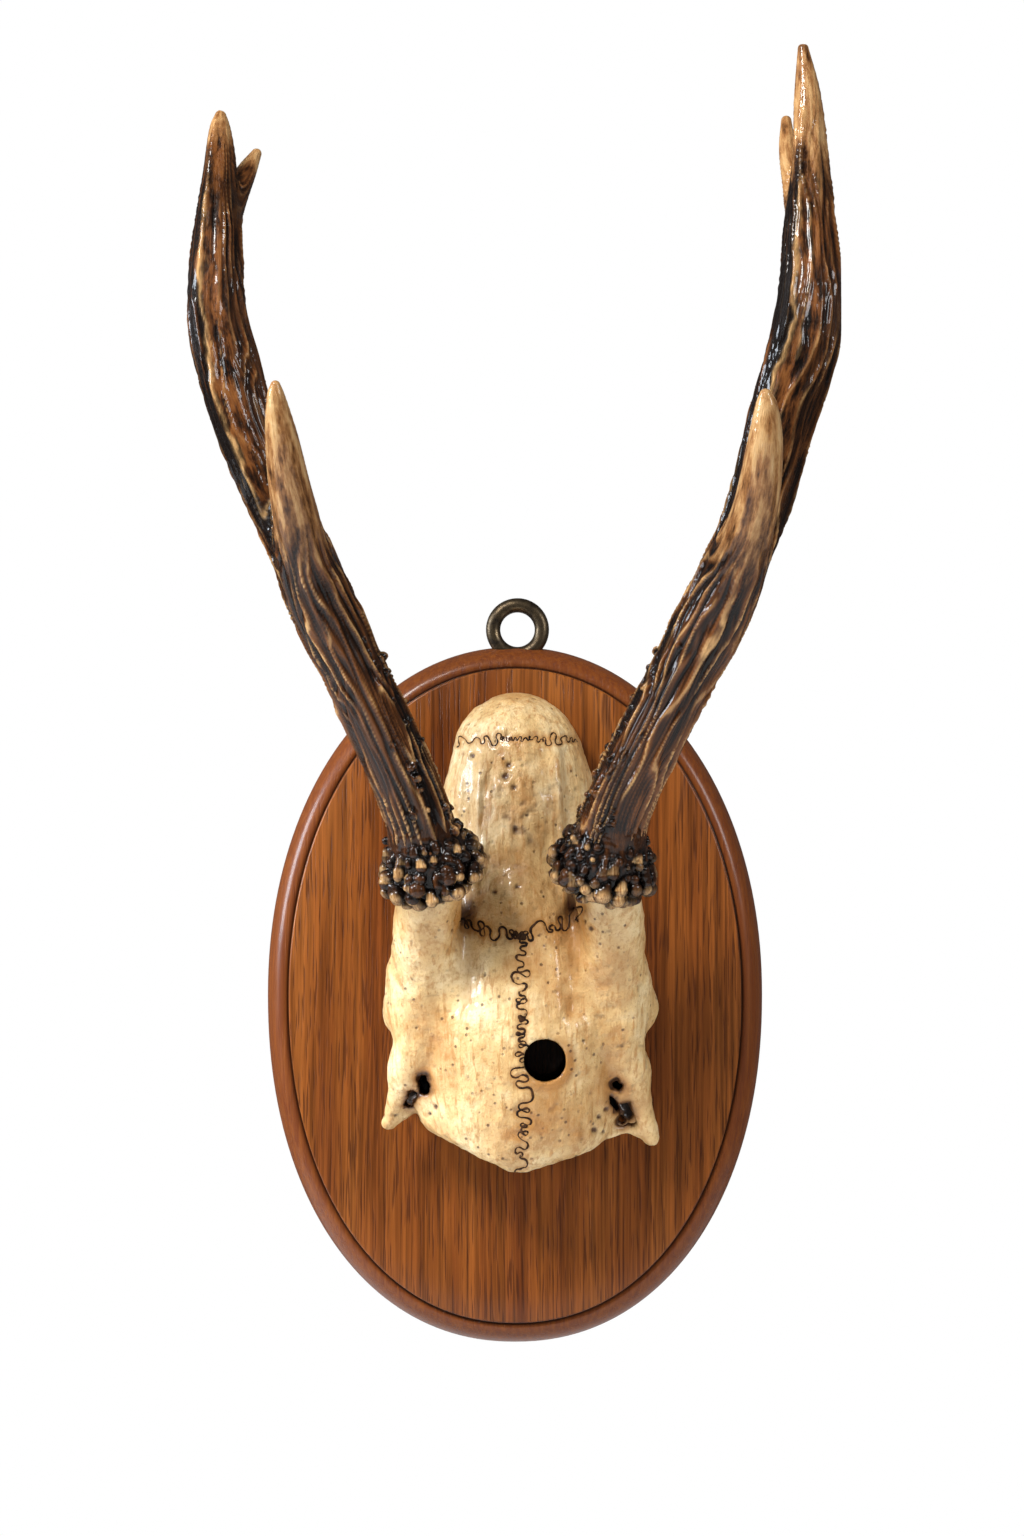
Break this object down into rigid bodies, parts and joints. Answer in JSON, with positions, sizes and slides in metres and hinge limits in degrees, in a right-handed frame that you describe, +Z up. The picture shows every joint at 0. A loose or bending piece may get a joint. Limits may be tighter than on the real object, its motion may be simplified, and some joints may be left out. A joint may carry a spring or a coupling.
{
  "type": "roe deer antler trophy",
  "caption": "Cut roebuck skull with a pair of knobbly six-point antlers, mounted on an oval wooden plaque that hangs from a ring.",
  "frame": {"origin": "centre of the plaque's flat back, which lies against the wall", "axes": "+Y into the wall, so the skull looks out along -Y; +Z up; +X to the viewer's right"},
  "size_m": [0.1969, 0.1457, 0.4029],
  "materials": {
    "wood": "satin varnish",
    "bronze": "darkened, satin",
    "bone": "satin bone",
    "antler": "dark polished antler",
    "tine": "worn, polished antler"
  },
  "bodies": {
    "root": {"plaque": "wood", "hanging_ring": "bronze", "skull_occipital": "bone", "skull_parietal": "bone", "skull_frontal_left": "bone", "skull_frontal_right": "bone", "antler_left_burr": "antler", "antler_left_lower_beam": "antler", "antler_left_front_tine": "tine", "antler_left_upper_beam": "antler", "antler_left_rear_tine": "tine", "antler_left_top_tine": "tine", "antler_right_burr": "antler", "antler_right_lower_beam": "antler", "antler_right_front_tine": "tine", "antler_right_upper_beam": "antler", "antler_right_rear_tine": "tine", "antler_right_top_tine": "tine"}
  },
  "joints": []
}
